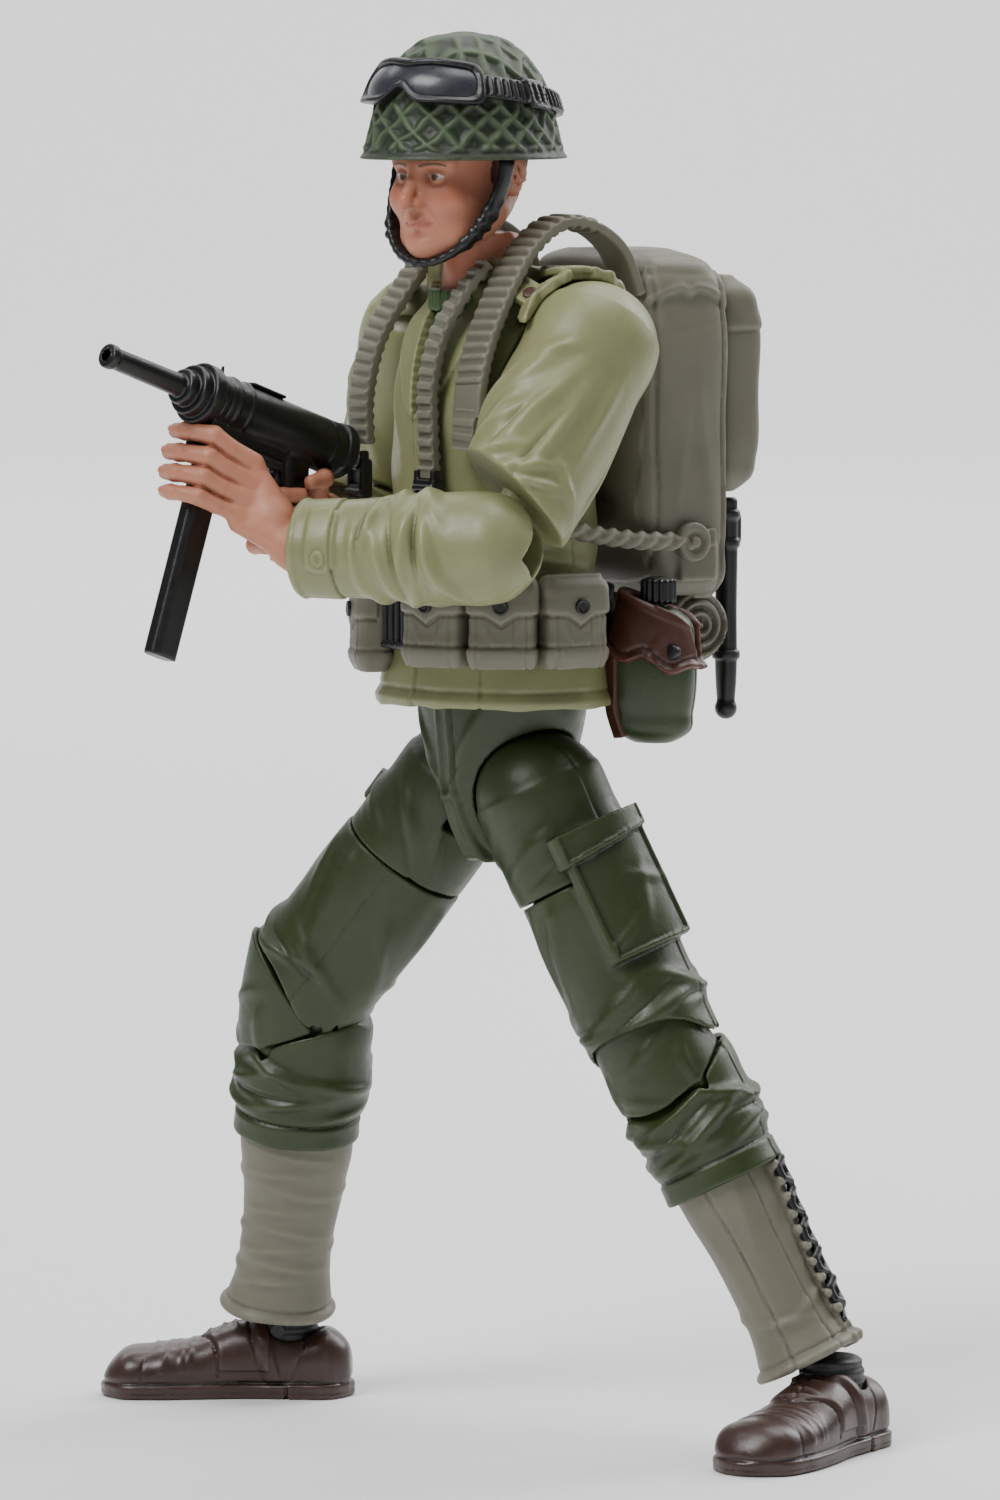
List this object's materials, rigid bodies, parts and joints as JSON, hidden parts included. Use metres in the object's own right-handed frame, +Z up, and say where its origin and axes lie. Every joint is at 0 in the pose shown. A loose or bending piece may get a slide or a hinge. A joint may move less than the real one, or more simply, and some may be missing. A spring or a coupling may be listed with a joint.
{
  "type": "action figure",
  "caption": "Poseable plastic soldier figure in helmet, goggles and field kit, crouching with a compact machine gun held in both hands.",
  "frame": {"origin": "middle of the footprint of the posed figure, at floor level", "axes": "+Z up, the figure faces -Y, its left side is +X"},
  "size_m": [0.057, 0.0488, 0.0969],
  "materials": {
    "trousers": "satin moulded plastic with a thin dark wash",
    "jacket": "satin moulded plastic with soft folds",
    "webbing": "satin moulded plastic",
    "black_kit": "satin black plastic",
    "canteen_green": "satin plastic",
    "leather": "brown plastic moulded as leather",
    "undershirt": "satin plastic",
    "skin": "satin flesh-coloured plastic",
    "helmet": "dry-brushed satin plastic",
    "lens": "glossy grey plastic",
    "gun_black": "satin black plastic",
    "shoes": "satin dark brown plastic",
    "black_joint": "plain black joint plastic"
  },
  "bodies": {
    "pelvis": {"pelvis": "trousers", "jacket_skirt": "jacket", "belt": "black_kit", "belt_buckle": "black_kit", "ammo_pouches": "webbing", "pouch_snaps": "black_kit", "canteen": "canteen_green", "canteen_cover": "leather"},
    "waist_peg": {"waist_peg": "black_joint"},
    "torso": {"jacket": "jacket", "undershirt": "undershirt", "epaulettes": "jacket", "left_harness": "webbing", "right_harness": "webbing", "harness_buckles": "black_kit", "side_straps": "webbing", "pack_body": "webbing", "pack_pocket": "webbing", "pack_roll": "webbing", "scabbard": "black_kit"},
    "neck": {"neck": "skin"},
    "head": {"head": "skin", "helmet": "helmet", "goggles_frame": "black_kit", "goggles_lens": "lens", "goggles_strap": "black_kit", "chin_strap": "black_kit"},
    "gun": {"gun_receiver": "gun_black", "gun_barrel": "gun_black", "gun_magazine": "gun_black"},
    "left_shoulder_hub": {"left_shoulder_hub": "black_joint"},
    "left_upper_arm": {"left_upper_arm": "jacket"},
    "left_elbow_peg": {"left_elbow_peg": "jacket"},
    "left_forearm": {"left_forearm": "jacket"},
    "left_wrist_peg": {"left_wrist_peg": "skin"},
    "left_hand": {"left_hand": "skin"},
    "left_hip_hub": {"left_hip_hub": "black_joint"},
    "left_thigh_top": {"left_thigh_top": "trousers"},
    "left_thigh": {"left_thigh": "trousers"},
    "left_knee": {"left_knee": "trousers"},
    "left_shin": {"left_shin": "trousers", "left_gaiter": "webbing"},
    "left_ankle_peg": {"left_ankle_peg": "black_joint"},
    "left_foot": {"left_shoe": "shoes"},
    "right_shoulder_hub": {"right_shoulder_hub": "black_joint"},
    "right_upper_arm": {"right_upper_arm": "jacket"},
    "right_elbow_peg": {"right_elbow_peg": "jacket"},
    "right_forearm": {"right_forearm": "jacket"},
    "right_wrist_peg": {"right_wrist_peg": "skin"},
    "right_hand": {"right_hand": "skin"},
    "right_hip_hub": {"right_hip_hub": "black_joint"},
    "right_thigh_top": {"right_thigh_top": "trousers"},
    "right_thigh": {"right_thigh": "trousers"},
    "right_knee": {"right_knee": "trousers"},
    "right_shin": {"right_shin": "trousers", "right_gaiter": "webbing"},
    "right_ankle_peg": {"right_ankle_peg": "black_joint"},
    "right_foot": {"right_shoe": "shoes"}
  },
  "joints": [
    {"name": "waist_bend", "type": "hinge", "parent": "pelvis", "child": "waist_peg", "pos_m": [0.00091, 0.00615, 0.057], "axis": [1, 0, 0], "range_deg": [-5.1, 5.8]},
    {"name": "waist_turn", "type": "hinge", "parent": "waist_peg", "child": "torso", "pos_m": [0.00091, 0.00615, 0.057], "axis": [0, 0, 1], "range_deg": [-6.8, 10.2]},
    {"name": "neck_nod", "type": "hinge", "parent": "torso", "child": "neck", "pos_m": [0.00091, 0.00456, 0.0778], "axis": [1, 0, 0], "range_deg": [-9, 15]},
    {"name": "head_turn", "type": "hinge", "parent": "neck", "child": "head", "pos_m": [0.00091, 0.00456, 0.0778], "axis": [0, 0, 1], "range_deg": [-60, 38.2]},
    {"name": "left_arm_swing", "type": "hinge", "parent": "torso", "child": "left_shoulder_hub", "pos_m": [0.01091, 0.00675, 0.0756], "axis": [-1, 0, 0], "range_deg": [-6.8, 60]},
    {"name": "left_arm_raise", "type": "hinge", "parent": "left_shoulder_hub", "child": "left_upper_arm", "pos_m": [0.01091, 0.00675, 0.0756], "axis": [0, -0.7869, 0.617], "range_deg": [-6, 70]},
    {"name": "left_elbow_turn", "type": "hinge", "parent": "left_upper_arm", "child": "left_elbow_peg", "pos_m": [0.01354, -0.00361, 0.06238], "axis": [0.1547, -0.6096, -0.7775], "range_deg": [-11.9, 14]},
    {"name": "left_elbow_bend", "type": "hinge", "parent": "left_elbow_peg", "child": "left_forearm", "pos_m": [0.01354, -0.00361, 0.06238], "axis": [-0.4424, 0.6609, -0.6062], "range_deg": [-59.5, 35]},
    {"name": "left_wrist_turn", "type": "hinge", "parent": "left_forearm", "child": "left_wrist_peg", "pos_m": [0.00186, -0.01167, 0.06212], "axis": [-0.8229, -0.5679, -0.0187], "range_deg": [-90, 90]},
    {"name": "left_wrist_bend", "type": "hinge", "parent": "left_wrist_peg", "child": "left_hand", "pos_m": [0.00186, -0.01167, 0.06212], "axis": [0.5682, -0.8228, -0.0118], "range_deg": [-25, 25], "deforming": ["left_hand"]},
    {"name": "left_hip_swing", "type": "hinge", "parent": "pelvis", "child": "left_hip_hub", "pos_m": [0.00591, 0.00615, 0.0446], "axis": [-1, 0, 0], "range_deg": [-15.6, 70]},
    {"name": "left_hip_spread", "type": "hinge", "parent": "left_hip_hub", "child": "left_thigh_top", "pos_m": [0.00591, 0.00615, 0.0446], "axis": [0, -0.9556, -0.2947], "range_deg": [-3.1, 40]},
    {"name": "left_thigh_turn", "type": "hinge", "parent": "left_thigh_top", "child": "left_thigh", "pos_m": [0.00591, 0.00615, 0.0446], "axis": [-0.3437, -0.2768, 0.8974], "range_deg": [-45, 45]},
    {"name": "left_knee_upper", "type": "hinge", "parent": "left_thigh", "child": "left_knee", "pos_m": [0.0123, 0.0113, 0.02791], "axis": [0.8164, 0.3842, 0.4311], "range_deg": [0, 46.8]},
    {"name": "left_knee_lower", "type": "hinge", "parent": "left_knee", "child": "left_shin", "pos_m": [0.01372, 0.01252, 0.02414], "axis": [0.8164, 0.3842, 0.4311], "range_deg": [0, 46.8]},
    {"name": "left_ankle_pitch", "type": "hinge", "parent": "left_shin", "child": "left_ankle_peg", "pos_m": [0.02072, 0.01891, 0.00519], "axis": [0.8164, 0.3842, 0.4311], "range_deg": [-25, 25]},
    {"name": "left_ankle_rock", "type": "hinge", "parent": "left_ankle_peg", "child": "left_foot", "pos_m": [0.02158, 0.01931, 0.0032], "axis": [-0.4259, 0.9048, 0], "range_deg": [-20, 6.8]},
    {"name": "right_arm_swing", "type": "hinge", "parent": "torso", "child": "right_shoulder_hub", "pos_m": [-0.00909, 0.00675, 0.0756], "axis": [-1, 0, 0], "range_deg": [-6, 0]},
    {"name": "right_arm_raise", "type": "hinge", "parent": "right_shoulder_hub", "child": "right_upper_arm", "pos_m": [-0.00909, 0.00675, 0.0756], "axis": [0, 0.9957, 0.0924], "range_deg": [-1, 22.7]},
    {"name": "right_elbow_turn", "type": "hinge", "parent": "right_upper_arm", "child": "right_elbow_peg", "pos_m": [-0.01524, 0.00822, 0.05982], "axis": [0.3616, -0.0861, 0.9283], "range_deg": [-14, 0]},
    {"name": "right_elbow_bend", "type": "hinge", "parent": "right_elbow_peg", "child": "right_forearm", "pos_m": [-0.01524, 0.00822, 0.05982], "axis": [-0.8292, -0.4849, 0.278], "range_deg": [-100, 0]},
    {"name": "right_wrist_turn", "type": "hinge", "parent": "right_forearm", "child": "right_wrist_peg", "pos_m": [-0.0074, -0.00299, 0.06365], "axis": [-0.5519, 0.7891, -0.2698], "range_deg": [-45, 3.7]},
    {"name": "right_wrist_bend", "type": "hinge", "parent": "right_wrist_peg", "child": "right_hand", "pos_m": [-0.0074, -0.00299, 0.06365], "axis": [-0.8215, -0.57, 0.0132], "range_deg": [-25, 3.4]},
    {"name": "right_hip_swing", "type": "hinge", "parent": "pelvis", "child": "right_hip_hub", "pos_m": [-0.00409, 0.00615, 0.0446], "axis": [1, 0, 0], "range_deg": [-30.7, 45]},
    {"name": "right_hip_spread", "type": "hinge", "parent": "right_hip_hub", "child": "right_thigh_top", "pos_m": [-0.00409, 0.00615, 0.0446], "axis": [0, 0.9136, -0.4066], "range_deg": [-9.3, 30]},
    {"name": "right_thigh_turn", "type": "hinge", "parent": "right_thigh_top", "child": "right_thigh", "pos_m": [-0.00409, 0.00615, 0.0446], "axis": [-0.5014, -0.3518, -0.7905], "range_deg": [-45, 45]},
    {"name": "right_knee_upper", "type": "hinge", "parent": "right_thigh", "child": "right_knee", "pos_m": [-0.01341, -0.00039, 0.0299], "axis": [0.7812, -0.5768, -0.2388], "range_deg": [-29, 22.1]},
    {"name": "right_knee_lower", "type": "hinge", "parent": "right_knee", "child": "right_shin", "pos_m": [-0.01448, -0.00015, 0.02584], "axis": [0.7812, -0.5768, -0.2388], "range_deg": [0, 46.8]},
    {"name": "right_ankle_pitch", "type": "hinge", "parent": "right_shin", "child": "right_ankle_peg", "pos_m": [-0.01965, 0.00133, 0.00534], "axis": [0.7812, -0.5768, -0.2388], "range_deg": [-25, 25]},
    {"name": "right_ankle_rock", "type": "hinge", "parent": "right_ankle_peg", "child": "right_foot", "pos_m": [-0.02008, 0.00164, 0.0032], "axis": [-0.594, -0.8045, -0.0001], "range_deg": [-20, 18]},
    {"name": "gun_lift", "type": "slide", "parent": "right_hand", "child": "gun", "axis": [-0.0026, 0.0173, 0.9998], "range_m": [0, 0.0034]}
  ]
}
